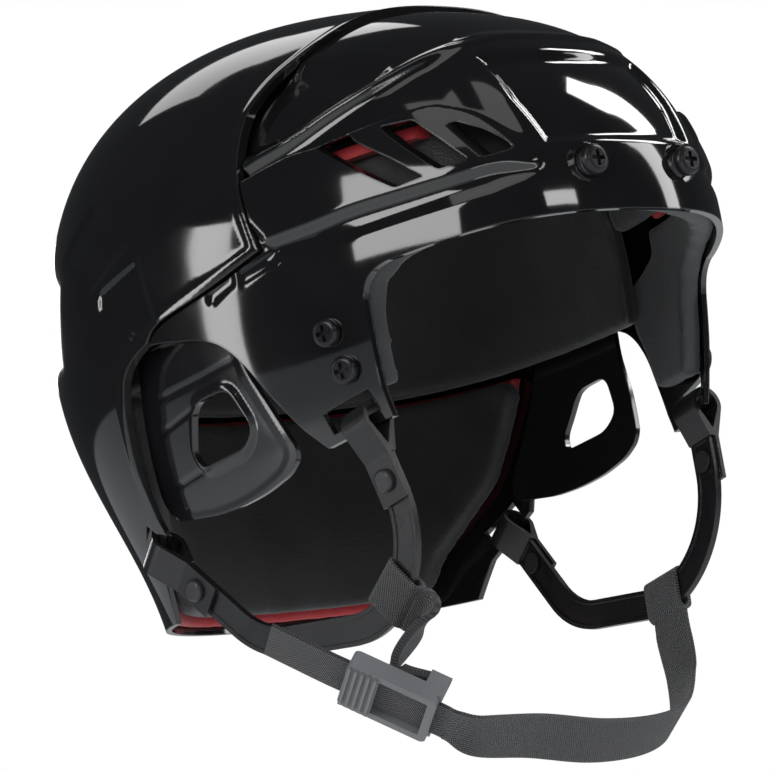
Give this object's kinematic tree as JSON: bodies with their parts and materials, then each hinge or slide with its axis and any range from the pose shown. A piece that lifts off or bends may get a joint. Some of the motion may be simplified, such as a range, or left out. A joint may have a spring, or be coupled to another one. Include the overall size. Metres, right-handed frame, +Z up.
{
  "type": "ice hockey helmet",
  "caption": "Open-face ice hockey helmet with a front and a rear shell that slide for size, foam liners, ear guards, hinged ear loops and a buckled chin strap.",
  "frame": {"origin": "middle of the head cavity, on the middle plane, at the height where the dome is widest", "axes": "+Z up with the helmet level as worn, -Y the way the wearer faces, +X the wearer's left"},
  "size_m": [0.2395, 0.298, 0.317],
  "materials": {
    "shell": "gloss",
    "guard": "gloss",
    "loop": "satin",
    "eva_red": "matte",
    "foam_black": "matte",
    "brow_foam": "matte",
    "webbing": "woven",
    "buckle": "satin",
    "screw": "satin",
    "nut": "satin",
    "snap": "satin"
  },
  "bodies": {
    "rear_body": {"rear_shell": "shell", "rear_red_liner": "eva_red", "rear_inner_liner": "foam_black", "nape_pad": "foam_black", "nape_backing": "eva_red", "size_pegs": "snap", "chin_strap": "webbing", "anchor_strap": "webbing"},
    "front_body": {"front_shell": "shell", "front_red_liner": "eva_red", "front_inner_liner": "foam_black", "brow_pad_left": "brow_foam", "brow_pad_right": "brow_foam", "ear_guard_left": "guard", "ear_guard_right": "guard", "brow_screws": "screw", "brow_washers": "nut", "brow_nuts": "nut", "side_screws": "screw", "side_nuts": "nut"},
    "left_loop": {"left_ear_loop": "loop", "left_loop_snaps": "snap"},
    "right_loop": {"right_ear_loop": "loop", "right_loop_snaps": "snap"},
    "buckle_body": {"buckle": "buckle"}
  },
  "joints": [
    {"name": "size_slide", "type": "slide", "parent": "rear_body", "child": "front_body", "axis": [0, -1, 0], "range_m": [0, 0.005]},
    {"name": "left_loop_swing", "type": "hinge", "parent": "rear_body", "child": "left_loop", "pos_m": [0.08464, -0.06394, -0.05736], "axis": [-0.0497, -0.9801, 0.1922], "range_deg": [-8, 12], "deforming": ["chin_strap"]},
    {"name": "right_loop_swing", "type": "hinge", "parent": "rear_body", "child": "right_loop", "pos_m": [-0.08464, -0.06394, -0.05736], "axis": [-0.0497, 0.9801, -0.1922], "range_deg": [-8, 12], "deforming": ["anchor_strap"]},
    {"name": "buckle_slide", "type": "slide", "parent": "rear_body", "child": "buckle_body", "axis": [-0.6244, 0.5463, 0.5583], "range_m": [-0.01, 0.02], "deforming": ["chin_strap", "anchor_strap"]}
  ]
}
